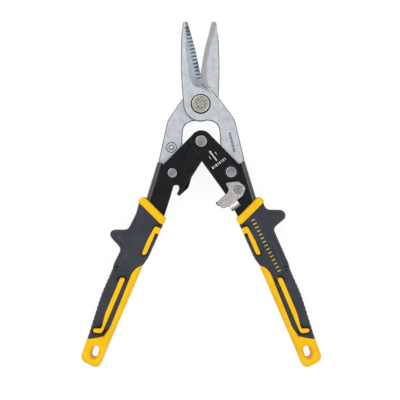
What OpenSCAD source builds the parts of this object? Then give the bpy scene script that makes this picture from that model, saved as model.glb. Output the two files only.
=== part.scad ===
// Aviation snips, straight cut, lying flat with the jaws open.
// +Y points to the blade tips and +Z up, away from the table that the grips lie on.
// Every outline is drawn from the main bolt's axis, then moved to the part's origin,
// which is the centre of the part's box at table height.

/* [Overall] */
// Thickness of the grips, which is also twice the height of the shear plane
grip_t = 20; // [19:0.5:24]
// Distance from the part's origin to the main bolt, along Y
bolt_y = 63; // [62:0.05:64]
// Turn of the jaws and their linkage on the centre line
head_turn = 0.75; // [0:0.25:1]

/* [Linkage] */
// Distance from the main bolt down to the handle pivot
handle_pivot_drop = 26.3; // [25:0.1:28]
// Distance from the main bolt down to the jaw pins
jaw_pin_drop = 48.1; // [47:0.1:49]
// Distance from the centre line out to a jaw pin
jaw_pin_out = 20.5; // [20:0.1:21]

/* [Jaws] */
// Thickness of one forged jaw
jaw_t = 4.6; // [4:0.1:4.7]
// Clearance between the two jaws
jaw_gap = 0.1; // [0.05:0.05:0.2]
// Radius of the boss round the main bolt
boss_r = 12.2; // [11:0.1:12.5]
// Radius of the round end at a jaw pin
tail_r = 8.4; // [7:0.1:8.5]
// Thickness of a blade at its tip
tip_t = 2.4; // [2:0.1:3]
// Thickness left along the cutting edge
edge_t = 1.3; // [1:0.1:1.6]
// Depth of the relief on the inner face of a blade
relief_depth = 0.25; // [0.1:0.05:0.4]
// Depth of the spot face that the nut and the bolt's head sit in
spot_depth = 0.8; // [0.4:0.1:1]
// Radius of the spot face
spot_r = 7; // [6.7:0.1:8]

/* [Serrations] */
// Distance between two serrations
serration_pitch = 2.6; // [2:0.1:4]
// Number of serrations
serration_count = 15; // [4:1:16]
// Width of one groove
serration_w = 0.9; // [0.4:0.1:1.4]
// Length of one groove, across the bevel
serration_l = 3.4; // [2:0.1:4]

/* [Handles] */
// Sheet thickness of the pressed channels
sheet_t = 1.6; // [1.2:0.1:1.6]
// Outer width of the right channel, front plate to back plate
right_channel_w = 17; // [16.9:0.1:17.4]
// Outer width of the left channel, which nests in the right one
left_channel_w = 12.8; // [12.7:0.1:12.9]
// Outer radius of the channel's bends
bend_r = 4; // [2.5:0.5:5]
// Angle between the centre line and the channel's web
web_angle = 17; // [16:0.5:18]
// Length of the web
web_l = 102; // [80:1:104]
// Radius of the plates' round end at the handle pivot
pivot_end_r = 7.7; // [6.5:0.1:8]

/* [Grips] */
// Thickness of the soft cover over the core, front and back
cover_t = 2.6; // [2:0.1:3]
// Length of the hang slot
slot_l = 10; // [8:0.5:12]
// Width of the hang slot
slot_w = 4.6; // [4:0.1:5.5]
// Angle of the hang slot from the centre line
slot_angle = 19; // [15:1:23]

/* [Latch] */
// Sheet thickness of the latch
latch_t = 1.4; // [1:0.1:1.6]
// Distance of the hook tab's inner face from the latch rivet
hook_reach = 16.5; // [16:0.1:17]
// Thickness of the bent hook tab
hook_t = 1.6; // [1.2:0.1:1.8]
// Length of the bent hook tab
hook_l = 3.4; // [2.5:0.1:3.8]
// Rise of the thumb tab above the latch plate
thumb_h = 2.4; // [1:0.2:4]

/* [Fasteners] */
// Radius of the main bolt's shank
bolt_r = 4; // [3.5:0.1:4.5]
// Radius of the main bolt's staked end
staked_r = 2.8; // [2:0.1:3.2]
// Radius of the round nut
nut_r = 6.15; // [5.5:0.05:6.6]
// Width of the bolt's hexagonal head across its corners
bolt_head_w = 15; // [14:0.5:18]
// Radial clearance of the back jaw on the bolt, where the linkage is open
bolt_play = 0.35; // [0.3:0.05:0.5]
// Radius of the handle pivot pin
handle_pin_r = 3; // [2.5:0.1:3.5]
// Radius of a jaw pin
jaw_pin_r = 2.5; // [2:0.1:3]
// Radius of the latch rivet
latch_rivet_r = 1.5; // [1:0.1:2]
// Radial clearance where a part turns on its pin
fit = 0.05; // [0.02:0.01:0.1]

/* [Return spring] */
// Diameter of the spring's wire
wire_d = 1.5; // [1:0.1:1.8]
// Middle radius of the spring's coil
coil_r = 5.7; // [5.3:0.1:6.2]
// Number of whole turns of the coil
coil_turns = 4; // [2:1:5]
// Length of each leg beyond its jaw pin
leg_past_pin = 3; // [1:0.5:6]

/* [Hidden] */
$fn = 48;
through = 60;
eps = 0.01;

// Heights
mid_z = grip_t / 2;
right_z = right_channel_w / 2;
left_z = left_channel_w / 2;
right_in_z = right_z - sheet_t;
left_in_z = left_z - sheet_t;
jaw_out_z = jaw_gap / 2 + jaw_t;
spot_z = jaw_out_z - spot_depth;
washer_t = right_in_z - left_z - 2 * fit;
latch_washer_t = 0.5;
lock_washer_t = 1;
nut_h = 3;
latch_z = right_z + latch_washer_t;

// Places of the pins, from the main bolt
function turned(p) = [p.x * cos(head_turn) - p.y * sin(head_turn),
    p.x * sin(head_turn) + p.y * cos(head_turn)];
handle_pin = turned([0, -handle_pivot_drop]);
left_pin = turned([-jaw_pin_out, -jaw_pin_drop]);
right_pin = turned([jaw_pin_out, -jaw_pin_drop]);
latch_pin = [25.9, -59.9];
mid_x = handle_pin.x;

// A jaw's outline: [x, y, corner radius], blade up on the left, arm down on the right
jaw_outline = [[-8.5, 58, 0.4], [-11.6, 58, 1.2], [-13.1, 48, 60], [-13.6, 26, 60],
    [-13.1, 12, 20], [-12.2, 0, 0], [0, -12.2, 0], [4, -11.6, 0], [12.6, -12.6, 7.5],
    [13.4, -28, 10], [12.6, -41, 10], [12.1, -48.1, 0], [28.9, -48.1, 0], [27.3, -42.9, 0.4],
    [30.3, -40.4, 0.4], [26.8, -25, 40], [23.7, -11.3, 14], [13.5, 3.2, 12], [1.9, 12.9, 3],
    [0.2, 20, 60], [-3.1, 38.2, 150]];
taper_from = 25;
tip_y = 58;
// The edge of the relief on a blade's inner face
relief_outline = [[-11.6, 54, 0], [-8.4, 45, 20], [-5.2, 32, 20], [-4.4, 26, 10],
    [-4.4, 17, 4], [-6.4, 11.5, 3], [-20, 11.5, 0], [-20, 54, 0]];
// The bevel of a jaw: [ridge point, edge point, thickness at the edge]
bevel = [[[-10.4, 60], [-8.6, 60], edge_t], [[-9.8, 55], [-7.7, 55], edge_t],
    [[-10, 43], [-4.5, 43], edge_t], [[-9.2, 31], [-1.6, 31], edge_t],
    [[-8, 22], [-0.1, 22], edge_t], [[-6.9, 16.8], [0.7, 16.8], edge_t + 0.2],
    [[-5.2, 13.6], [1.3, 14.6], edge_t + 0.5], [[-2.9, 12], [2.4, 12.5], edge_t + 0.9],
    [[2.6, 9.8], [5.2, 11], 2.9], [[9.2, 5.6], [10.6, 7.3], 3.3],
    [[14, 0.8], [15, 1.8], 3.7], [[18, -4.4], [18.8, -3.9], jaw_t]];

// A handle frame's outline, from the middle line, as for the right handle
web_start = [30.6, -40.2];
frame_outer = [[26.4, -42.2, 0], [34, -38.7, 0], [66, -150, 0], [57.9, -150, 0]];
right_inner = [[46.5, -120, 0], [24.7, -76.7, 12], [17, -62.8, 60]];
left_front_inner = [[46.5, -120, 0], [25.6, -77.4, 12], [21.4, -64, 8], [19.4, -57, 1.6],
    [15.9, -56.8, 1.4], [15.4, -59.4, 0.6], [17, -63.2, 0.4], [15.5, -64.6, 0.6],
    [12.9, -60, 6], [8.9, -53.2, 40]];
left_back_inner = [[46.5, -120, 0], [25.6, -77.4, 12], [21.4, -64, 8], [19.4, -57, 1.6],
    [15.9, -56.8, 1.4], [15.4, -59.4, 0.6], [17, -63.2, 0.4], [15.5, -64.6, 0.6],
    [9, -58.6, 3], [6.9, -51.4, 6]];
// Cut from the top of each web, where a jaw's shoulder comes close to it
web_notch = [[26.5, -44], [33.5, -38.4], [33, -30], [24, -30]];

// A grip's outline, from the middle line, as for the right handle
collar = [[40.2, -64.4, 1.4], [44.7, -67.8, 1.4], [27.1, -85.4, 1.2], [24.3, -80.3, 1.4]];
left_horn = [[39, -70, 0], [43.6, -68.9, 0], [45.6, -76.6, 8], [51.4, -88.1, 3],
    [64.2, -88.1, 3.2], [64.2, -92.8, 3], [56, -101.4, 3.4]];
right_horn = [[39, -70, 0], [43.6, -68.9, 0], [45.2, -74.1, 4], [59, -74.1, 4],
    [59.6, -79.8, 3], [50.4, -87, 3.2]];
grip_side = [[61.5, -112.2, 0.5], [61.9, -115, 0.5], [70, -133, 100], [79.8, -164.4, 0]];
boundary = [[67.9, -162.4, 4], [63.6, -156.2, 4], [48.2, -118, 4], [45.2, -114.6, 4],
    [40.6, -112.6, 0]];
grip_inner_top = [[37.6, -108.6, 8], [26.9, -84.8, 0], [30, -79, 0]];
grip_end = [[85.1, -178.9, 4.6], [71.6, -185.6, 3.8], [65.9, -171.4, 60]];
upper_strip = [[32.1, -85.3, 0.5], [27.6, -87.6, 0], [29.1, -92, 0.8], [31.8, -90.2, 0.6],
    [38.4, -105.4, 2.2], [41.9, -105.8, 0.8], [37.6, -95.4, 6]];
lower_strip = [[56.3, -121.2, 0.5], [52.8, -121.8, 0.5], [69.2, -160.4, 2.6],
    [75.8, -159.4, 0.6], [75, -156.8, 0.6], [69.6, -157, 1.6], [67, -146.6, 12]];
sleeve_outline = [[31, -80, 0], [41.5, -70, 0], [48, -87, 0], [54, -103, 0], [60, -118, 0],
    [76, -163, 0], [67, -162, 0], [48.2, -118, 0], [41, -110, 0]];
slot_at = [74.1, -173.4];

// The latch's outline, from the main bolt
latch_outline = [[17, -55.6, 1], [19, -55, 1.5], [26.4, -54.2, 3], [31.6, -58.4, 3],
    [29.4, -64.4, 4], [25.6, -67.2, 0], [19.2, -71.9, 0], [15.4, -73.2, 1.2], [10.7, -70, 0.9],
    [12.6, -67.4, 4], [20.2, -60.8, 3.4]];
hook_angle = 216;
hook_drop = 5.4;
thumb_at = [22.4, -69.55];
thumb_angle = 36;
thumb_w = 7.4;
thumb_reach = 4.6;

// The return spring's coil and legs, in the plane of the linkage
pin_ring_t = 0.6;
spacer_r = coil_r - wire_d / 2 - fit;
leg_z = 3.4;
leg_l = norm(right_pin - handle_pin) + leg_past_pin;
pin_slope = atan2(jaw_pin_drop - handle_pivot_drop, jaw_pin_out);
coil_from = 270 + pin_slope;
coil_sweep = 360 * coil_turns - 2 * pin_slope;
coil_steps = 80;

// Corner arcs: turns [x, y, radius] corners into points
function unit(v) = v / norm(v);
function wrapped(a) = a > 180 ? a - 360 : a < -180 ? a + 360 : a;
function arc(centre, r, start, sweep, n) =
    [for (i = [0 : n]) centre + r * [cos(start + sweep * i / n), sin(start + sweep * i / n)]];
function corner(a, p, b, r) =
    let (u = unit(a - p), v = unit(b - p), half = acos(u * v) / 2)
    let (centre = p + unit(u + v) * r / sin(half), reach = r / tan(half))
    let (s = p + u * reach - centre, e = p + v * reach - centre)
    let (start = atan2(s.y, s.x), sweep = wrapped(atan2(e.y, e.x) - start))
    arc(centre, r, start, sweep, max(2, ceil(abs(sweep) / 15)));
function flat2(p) = [p.x, p.y];
function rounded(corners) = let (n = len(corners))
    [for (i = [0 : n - 1]) let (p = corners[i])
        each p.z > 0
            ? corner(flat2(corners[(i + n - 1) % n]), flat2(p), flat2(corners[(i + 1) % n]), p.z)
            : [flat2(p)]];

// Shared shapes
module place(at = [0, 0]) {
    translate([at.x - mid_x, at.y + bolt_y, mid_z])
        children();
}

module slab(z0, z1) {
    translate([0, 0, z0])
        linear_extrude(z1 - z0)
            children();
}

module disc(r, z0, z1) {
    translate([0, 0, z0])
        cylinder(r = r, h = z1 - z0);
}

module ring(r_in, r_out, z0, z1) {
    difference() {
        disc(r_out, z0, z1);
        disc(r_in, z0 - 1, z1 + 1);
    }
}

// A round head with a chamfered rim, which stands on z and points up or down by way
module pin_head(r, h, z, way = 1) {
    rim = 0.5;
    translate([0, 0, z])
        scale([1, 1, way])
            rotate_extrude()
                polygon([[0, 0], [r, 0], [r, h - rim], [r - rim, h], [0, h]]);
}

// Turns a right-hand handle shape into a left-hand one
module handed(left) {
    translate([mid_x, 0])
        mirror([left ? 1 : 0, 0])
            children();
}

// Jaws
function blade_top(y) = min(jaw_t, jaw_t - (y - taper_from) * (jaw_t - tip_t) / (tip_y - taper_from));

module taper_cutter() {
    beyond = 10;
    slope = (jaw_t - tip_t) / (tip_y - taper_from);
    translate([-20, 0, 0])
        rotate([90, 0, 90])
            linear_extrude(20)
                polygon([[taper_from, jaw_t], [tip_y + beyond, tip_t - slope * beyond],
                    [tip_y + beyond, jaw_t + 1], [taper_from, jaw_t + 1]]);
}

module bevel_cutter() {
    sides = 5;
    last = len(bevel) - 1;
    above = jaw_t + 2;
    outward = 4;
    points = [for (s = bevel) let (r = s[0], e = s[1], o = e + unit(e - r) * outward)
        each [[r.x, r.y, blade_top(r.y)], [e.x, e.y, s[2]], [o.x, o.y, s[2]], [o.x, o.y, above],
            [r.x, r.y, above]]];
    walls = [for (k = [0 : last - 1], j = [0 : sides - 1])
        let (a = k * sides + j, b = k * sides + (j + 1) % sides)
        each [[a, a + sides, b], [b, a + sides, b + sides]]];
    start = [for (j = [0 : sides - 1]) j];
    end = [for (j = [sides - 1 : -1 : 0]) last * sides + j];
    polyhedron(points, concat(walls, [start, end]), convexity = 4);
}

// One jaw with its inner face on z = 0, its blade on the left and its arm on the right
module jaw(bore_play) {
    difference() {
        union() {
            slab(0, jaw_t) polygon(rounded(jaw_outline));
            disc(boss_r, 0, jaw_t);
            translate([jaw_pin_out, -jaw_pin_drop]) disc(tail_r, 0, jaw_t);
        }
        taper_cutter();
        bevel_cutter();
        slab(-1, relief_depth) polygon(rounded(relief_outline));
        disc(spot_r, jaw_t - spot_depth, jaw_t + 1);
        disc(bolt_r + bore_play, -1, jaw_t + 1);
        translate([jaw_pin_out, -jaw_pin_drop]) disc(jaw_pin_r + fit, -1, jaw_t + 1);
    }
}

// Grooves across the bevel, close to the cutting edge
module serrations() {
    first = [-7.5, 54.2];
    along = unit([7.4, -34.4]);
    bevel_tilt = 23;
    edge_angle = 12;
    depth = 0.35;
    for (i = [0 : serration_count - 1]) {
        at = first + along * serration_pitch * i;
        translate([at.x, at.y, edge_t])
            rotate([0, bevel_tilt, edge_angle])
                translate([-serration_l, -serration_w / 2, -depth])
                    cube([serration_l + 2, serration_w, 2]);
    }
}

module front_jaw() {
    color([0.78, 0.8, 0.83])
        place()
            rotate(head_turn)
                translate([0, 0, jaw_gap / 2])
                    difference() {
                        jaw(0);
                        serrations();
                    }
}

// Two plain rings stamped in the back jaw's arm
module arm_stamp() {
    stamp_at = [21, -30];
    stamp_depth = 0.3;
    translate(stamp_at) {
        ring(3.2, 3.8, -1, stamp_depth);
        ring(1.4, 2, -1, stamp_depth);
    }
}

module back_jaw() {
    color([0.7, 0.72, 0.76])
        place()
            rotate(head_turn)
                translate([0, 0, -jaw_gap / 2])
                    rotate([0, 180, 0])
                        difference() {
                            jaw(bolt_play);
                            arm_stamp();
                        }
}

// Main bolt
module pivot_bolt() {
    head_top = -spot_z - lock_washer_t;
    staked_above = 0.3;
    color([0.72, 0.7, 0.65])
        place() {
            disc(bolt_r, head_top - eps, spot_z);
            disc(staked_r, spot_z - eps, spot_z + nut_h + staked_above);
            translate([0, 0, -mid_z])
                cylinder(d = bolt_head_w, h = mid_z + head_top, $fn = 6);
        }
}

module pivot_nut() {
    rim = 0.4;
    color([0.75, 0.73, 0.68])
        place()
            translate([0, 0, spot_z])
                rotate_extrude()
                    polygon([[staked_r, 0], [nut_r, 0], [nut_r, nut_h - rim], [nut_r - rim, nut_h],
                        [nut_r - 2 * rim, nut_h], [nut_r - 2.5 * rim, nut_h - rim],
                        [staked_r, nut_h - rim]]);
}

module pivot_lock_washer() {
    color([0.6, 0.6, 0.6])
        place()
            ring(bolt_r, spot_r - 0.4, -spot_z - lock_washer_t, -spot_z - fit);
}

// Handle frames
module channel_section(half_w) {
    depth = 36;
    in_w = half_w - sheet_t;
    in_r = bend_r - sheet_t;
    difference() {
        polygon(rounded([[0, -half_w, bend_r], [0, half_w, bend_r], [depth, half_w, 0],
            [depth, -half_w, 0]]));
        polygon(rounded([[sheet_t, -in_w, in_r], [sheet_t, in_w, in_r], [depth + 1, in_w, 0],
            [depth + 1, -in_w, 0]]));
    }
}

// The folded sheet before its front and back plates are cut to their outlines
module channel(half_w) {
    above_start = 34;
    translate([web_start.x, web_start.y, 0])
        rotate([90, 0, web_angle])
            translate([0, 0, -above_start])
                linear_extrude(web_l + above_start)
                    mirror([1, 0])
                        channel_section(half_w);
}

module plate_outline(inner) {
    polygon(rounded(concat(tangents(inner), frame_outer, inner)));
    translate([0, handle_pin.y]) circle(pivot_end_r);
}

// The points where a plate's upper and inner edges leave its round end
function tangent(p, way) = let (c = [0, handle_pin.y], d = flat2(p) - c, l = norm(d))
    let (a = atan2(d.y, d.x) + way * acos(pivot_end_r / l))
    c + pivot_end_r * [cos(a), sin(a)];
function tangents(inner) =
    let (i = tangent(inner[len(inner) - 1], -1), u = tangent(frame_outer[0], 1))
    [[i.x, i.y, 0], [0, handle_pin.y, 0], [u.x, u.y, 0]];

module handle_frame(left, half_w, front_inner, back_inner) {
    handed(left)
        difference() {
            intersection() {
                channel(half_w);
                union() {
                    slab(0, mid_z) plate_outline(front_inner);
                    slab(-mid_z, 0) plate_outline(back_inner);
                }
            }
            slab(-left_in_z, left_in_z) polygon(web_notch);
        }
}

module left_handle_frame() {
    color([0.1, 0.11, 0.12])
        place()
            difference() {
                handle_frame(true, left_z, left_front_inner, left_back_inner);
                translate(handle_pin) disc(handle_pin_r + fit, -through / 2, through / 2);
                translate(left_pin) disc(jaw_pin_r, -through / 2, through / 2);
            }
}

module right_handle_frame() {
    color([0.13, 0.14, 0.15])
        place()
            difference() {
                handle_frame(false, right_z, right_inner, right_inner);
                translate(handle_pin) disc(handle_pin_r, -through / 2, through / 2);
                translate(right_pin) disc(jaw_pin_r, -through / 2, through / 2);
                translate(latch_pin) disc(latch_rivet_r, 0, through / 2);
            }
}

// Handle pivot
module handle_pivot_pin() {
    head_r = 3.95;
    head_h = 1.5;
    color([0.5, 0.5, 0.52])
        place(handle_pin) {
            disc(handle_pin_r, -right_z - eps, right_z + eps);
            pin_head(head_r, head_h, right_z);
            pin_head(head_r, 1.2, -right_z, -1);
        }
}

module handle_pivot_bushing() {
    bushing_r = 4.2;
    color([0.72, 0.58, 0.3])
        place(handle_pin)
            ring(handle_pin_r, bushing_r, 2 * fit - left_in_z, left_in_z - 2 * fit);
}

module handle_pivot_washers() {
    color([0.62, 0.62, 0.64])
        place(handle_pin)
            for (way = [-1, 1])
                translate([0, 0, way * (left_z + right_in_z) / 2])
                    ring(handle_pin_r, 6.2, -washer_t / 2, washer_t / 2);
}

// Pins and spacers of the jaw arms
module jaw_pin(at, half_w, head_r, under_head) {
    head_h = 1.3;
    color([0.5, 0.5, 0.52])
        place(at) {
            disc(jaw_pin_r, -half_w - eps, half_w + under_head + eps);
            pin_head(head_r, head_h, half_w + under_head);
            pin_head(head_r, head_h - 0.1, -half_w, -1);
        }
}

module left_jaw_pin() {
    jaw_pin(left_pin, left_z, 3.2, 0);
}

module right_jaw_pin() {
    jaw_pin(right_pin, right_z, 3.65, pin_ring_t);
}

module right_jaw_pin_ring() {
    color([0.08, 0.08, 0.09])
        place(right_pin)
            ring(jaw_pin_r, 4.5, right_z, right_z + pin_ring_t);
}

module left_arm_spacer() {
    color([0.6, 0.6, 0.62])
        place(left_pin)
            ring(jaw_pin_r, spacer_r, 0, left_in_z - fit);
}

module right_arm_spacers() {
    color([0.6, 0.6, 0.62])
        place(right_pin) {
            ring(jaw_pin_r, spacer_r, fit - right_in_z, 0);
            ring(jaw_pin_r, spacer_r, jaw_out_z + fit, right_in_z - fit);
        }
}

// Return spring: a coil round the handle pivot, with a leg along the inner side of each spacer
// Each point of the wire is [x, y, z, direction of the side that faces out of the coil]
function along_leg(out, side, z, l) =
    let (d = out * 90)
    [coil_r * cos(side) + l * cos(side + d), coil_r * sin(side) + l * sin(side + d), z, side];
wire_path = concat(
    [along_leg(-1, coil_from, leg_z, leg_l)],
    [for (i = [0 : coil_steps])
        let (a = coil_from + coil_sweep * i / coil_steps)
        [coil_r * cos(a), coil_r * sin(a), leg_z - 2 * leg_z * i / coil_steps, a]],
    [along_leg(1, coil_from + coil_sweep, -leg_z, leg_l)]);

module return_spring() {
    sides = 8;
    last = len(wire_path) - 1;
    points = [for (w = wire_path, j = [0 : sides - 1])
        let (b = 360 * j / sides, out = wire_d / 2 * cos(b))
        [w[0] + out * cos(w[3]), w[1] + out * sin(w[3]), w[2] + wire_d / 2 * sin(b)]];
    walls = [for (k = [0 : last - 1], j = [0 : sides - 1])
        let (a = k * sides + j, b = k * sides + (j + 1) % sides)
        each [[a, a + sides, b], [b, a + sides, b + sides]]];
    start = [for (j = [0 : sides - 1]) j];
    end = [for (j = [sides - 1 : -1 : 0]) last * sides + j];
    color([0.45, 0.45, 0.47])
        place(handle_pin)
            rotate(head_turn)
                polyhedron(points, concat(walls, [start, end]), convexity = 10);
}

// Latch
module latch() {
    color([0.8, 0.78, 0.74])
        place(latch_pin)
            difference() {
                union() {
                    translate(-latch_pin)
                        slab(latch_z, latch_z + latch_t) polygon(rounded(latch_outline));
                    rotate(hook_angle)
                        translate([hook_reach, -hook_l / 2, latch_z - hook_drop])
                            cube([hook_t, hook_l, hook_drop + eps]);
                    translate(thumb_at - latch_pin)
                        rotate([90, 0, thumb_angle - 90])
                            translate([0, latch_z, -thumb_w / 2])
                                linear_extrude(thumb_w)
                                    thumb_profile();
                }
                disc(latch_rivet_r + fit, 0, through / 2);
            }
}

// Side view of the thumb tab, which leaves the plate flat and bends up
module thumb_profile() {
    flat = 1.6;
    polygon([[-1, 0], [flat, 0], [thumb_reach, thumb_h], [thumb_reach - 0.7, thumb_h + 1.2],
        [flat - 0.4, latch_t], [-1, latch_t]]);
}

module latch_rivet() {
    head_r = 2.5;
    head_h = 0.8;
    color([0.5, 0.52, 0.56])
        place(latch_pin) {
            disc(latch_rivet_r, right_in_z, latch_z + latch_t + 2 * fit);
            pin_head(head_r, head_h, latch_z + latch_t + fit);
            pin_head(head_r, head_h, right_in_z, -1);
        }
}

module latch_wave_washer() {
    color([0.6, 0.6, 0.6])
        place(latch_pin)
            ring(latch_rivet_r, 3.4, right_z, right_z + latch_washer_t - fit);
}

// Grips
module cover_outline(horn) {
    polygon(rounded(concat(horn, grip_side, boundary, grip_inner_top)));
}

module spine_outline() {
    last = len(boundary) - 1;
    polygon(rounded(concat([grip_side[len(grip_side) - 1]], grip_end,
        [for (i = [last : -1 : 0]) boundary[i]])));
}

module strips(horn) {
    intersection() {
        union() {
            polygon(rounded(upper_strip));
            polygon(rounded(lower_strip));
        }
        cover_outline(horn);
    }
}

module hang_slot() {
    translate(slot_at)
        rotate(slot_angle) {
            for (way = [-1, 1])
                translate([0, way * (slot_l - slot_w) / 2])
                    disc(slot_w / 2, -through / 2, through / 2);
            translate([-slot_w / 2, (slot_w - slot_l) / 2, -through / 2])
                cube([slot_w, slot_l - slot_w, through]);
        }
}

// Everything the stiff core fills, before the frame is taken out of it
module core_body(horn) {
    slab(-mid_z, mid_z) spine_outline();
    slab(-mid_z, mid_z) polygon(rounded(collar));
    slab(cover_t - mid_z, mid_z - cover_t) polygon(rounded(sleeve_outline));
    slab(-mid_z, mid_z) strips(horn);
}

module grip_core(left, horn, half_w, front_inner, back_inner) {
    color([0.95, 0.72, 0.05])
        place()
            difference() {
                handed(left) core_body(horn);
                handle_frame(left, half_w, front_inner, back_inner);
                handed(left) hang_slot();
            }
}

module grip_cover(left, horn, half_w, front_inner, back_inner) {
    color([0.22, 0.23, 0.26])
        place()
            difference() {
                handed(left) slab(-mid_z, mid_z) cover_outline(horn);
                handed(left) core_body(horn);
                handle_frame(left, half_w, front_inner, back_inner);
            }
}

module left_grip_core() {
    grip_core(true, left_horn, left_z, left_front_inner, left_back_inner);
}

module left_grip_cover() {
    grip_cover(true, left_horn, left_z, left_front_inner, left_back_inner);
}

module right_grip_core() {
    grip_core(false, right_horn, right_z, right_inner, right_inner);
}

module right_grip_cover() {
    grip_cover(false, right_horn, right_z, right_inner, right_inner);
}

front_jaw();
back_jaw();
pivot_bolt();
pivot_nut();
pivot_lock_washer();
left_handle_frame();
right_handle_frame();
handle_pivot_pin();
handle_pivot_bushing();
handle_pivot_washers();
return_spring();
left_jaw_pin();
right_jaw_pin();
right_jaw_pin_ring();
left_arm_spacer();
right_arm_spacers();
latch();
latch_rivet();
latch_wave_washer();
left_grip_core();
left_grip_cover();
right_grip_core();
right_grip_cover();
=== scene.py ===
"""Aviation snips: the looks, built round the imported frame. Lengths are in metres."""
import math

import bmesh
import bpy
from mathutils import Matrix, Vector, kdtree
from mathutils.geometry import delaunay_2d_cdt


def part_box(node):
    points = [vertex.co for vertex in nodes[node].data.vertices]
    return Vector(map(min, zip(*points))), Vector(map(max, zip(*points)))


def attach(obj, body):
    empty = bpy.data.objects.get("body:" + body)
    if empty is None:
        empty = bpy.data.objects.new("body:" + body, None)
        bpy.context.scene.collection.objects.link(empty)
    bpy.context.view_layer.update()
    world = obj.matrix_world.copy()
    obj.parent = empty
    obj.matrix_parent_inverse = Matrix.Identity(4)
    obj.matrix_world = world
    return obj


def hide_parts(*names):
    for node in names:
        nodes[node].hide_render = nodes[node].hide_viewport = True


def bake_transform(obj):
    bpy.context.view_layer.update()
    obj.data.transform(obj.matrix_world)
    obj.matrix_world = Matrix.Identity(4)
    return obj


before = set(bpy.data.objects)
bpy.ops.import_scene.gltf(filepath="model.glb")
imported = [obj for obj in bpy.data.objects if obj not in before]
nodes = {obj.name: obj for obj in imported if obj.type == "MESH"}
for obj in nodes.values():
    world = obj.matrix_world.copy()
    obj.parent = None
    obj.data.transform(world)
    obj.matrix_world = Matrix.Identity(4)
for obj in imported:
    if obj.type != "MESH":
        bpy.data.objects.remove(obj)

MM = 0.001
scene = bpy.context.scene
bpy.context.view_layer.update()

RIGHT, LEFT = "right_handle", "left_handle"
GRIP_LOW, GRIP_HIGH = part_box("left_grip_core")
MID_Z = (GRIP_LOW.z + GRIP_HIGH.z) / 2
SAME = 1e-5  # two places closer than this are taken as one
NOTHING = 1e-7  # a radius smaller than this is taken as 0


# ---------------------------------------------------------------- mesh helpers
def new_object(name, data):
    ob = bpy.data.objects.new(name, data)
    scene.collection.objects.link(ob)
    return ob


def object_from(name, points, faces, smooth_angle=35):
    """A mesh object whose faces are smooth except across edges sharper than smooth_angle."""
    mesh = bpy.data.meshes.new(name)
    mesh.from_pydata([tuple(p) for p in points], [], faces)
    mesh.validate()
    shade(mesh, smooth_angle)
    return new_object(name, mesh)


def shade(mesh, smooth_angle):
    mesh.polygons.foreach_set("use_smooth", [True] * len(mesh.polygons))
    mesh.set_sharp_from_angle(angle=math.radians(smooth_angle))
    mesh.update()


def dress(ob, body, slot, materials, *replaced):
    """Gives a piece its materials and its body, and hides the CAD nodes that it stands for. slot is
    not used.
    """
    for material in materials:
        ob.data.materials.append(material)
    if replaced:
        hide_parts(*replaced)
    if body:
        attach(ob, body)


def centre_of(node):
    low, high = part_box(node)
    return (low + high) / 2


# ---------------------------------------------------------------- materials
def fill_ramp(node, stops):
    """Gives a colour ramp its stops of (position, colour)."""
    elements = node.color_ramp.elements
    while len(elements) < len(stops):
        elements.new(0.5)
    for element, (position, colour) in zip(elements, stops):
        element.position = position
        element.color = (*colour, 1)


class Shader:
    """A material with short ways to add the nodes that this object's finishes use."""

    def __init__(self, name, roughness, metallic=0.0, **constants):
        self.material = bpy.data.materials.new(name)
        self.material.use_nodes = True
        self.tree = self.material.node_tree
        self.surface = self.tree.nodes["Principled BSDF"]
        self.surface.inputs["Roughness"].default_value = roughness
        self.surface.inputs["Metallic"].default_value = metallic
        for socket, value in constants.items():
            self.surface.inputs[socket.replace("_", " ")].default_value = value
        self.place = self.tree.nodes.new("ShaderNodeTexCoord").outputs["Object"]

    def stretched(self, stretch, turn=0.0):
        mapping = self.tree.nodes.new("ShaderNodeMapping")
        mapping.inputs["Scale"].default_value = stretch
        mapping.inputs["Rotation"].default_value = (0, 0, math.radians(turn))
        self.tree.links.new(self.place, mapping.inputs["Vector"])
        return mapping.outputs["Vector"]

    def noise(self, size, detail=3.0, vector=None):
        """Noise whose features measure about size."""
        node = self.tree.nodes.new("ShaderNodeTexNoise")
        node.inputs["Scale"].default_value = 1 / size
        node.inputs["Detail"].default_value = detail
        self.tree.links.new(vector or self.place, node.inputs["Vector"])
        return node.outputs["Fac"]

    def ramp(self, factor, *stops):
        """Maps factor through stops of (position, colour)."""
        node = self.tree.nodes.new("ShaderNodeValToRGB")
        fill_ramp(node, stops)
        self.tree.links.new(factor, node.inputs["Fac"])
        return node.outputs["Color"]

    def grey_range(self, factor, low, high, value_low, value_high):
        node = self.tree.nodes.new("ShaderNodeMapRange")
        node.inputs["From Min"].default_value = low
        node.inputs["From Max"].default_value = high
        node.inputs["To Min"].default_value = value_low
        node.inputs["To Max"].default_value = value_high
        self.tree.links.new(factor, node.inputs["Value"])
        return node.outputs["Result"]

    def colour(self, source):
        self.tree.links.new(source, self.surface.inputs["Base Color"])
        return self

    def roughness(self, source):
        self.tree.links.new(source, self.surface.inputs["Roughness"])
        return self

    def bump(self, *layers):
        """Adds (height, depth) layers of relief, each depth a real length."""
        normal = None
        for height, depth in layers:
            node = self.tree.nodes.new("ShaderNodeBump")
            node.inputs["Distance"].default_value = depth
            self.tree.links.new(height, node.inputs["Height"])
            if normal:
                self.tree.links.new(normal, node.inputs["Normal"])
            normal = node.outputs["Normal"]
        self.tree.links.new(normal, self.surface.inputs["Normal"])
        return self


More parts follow.
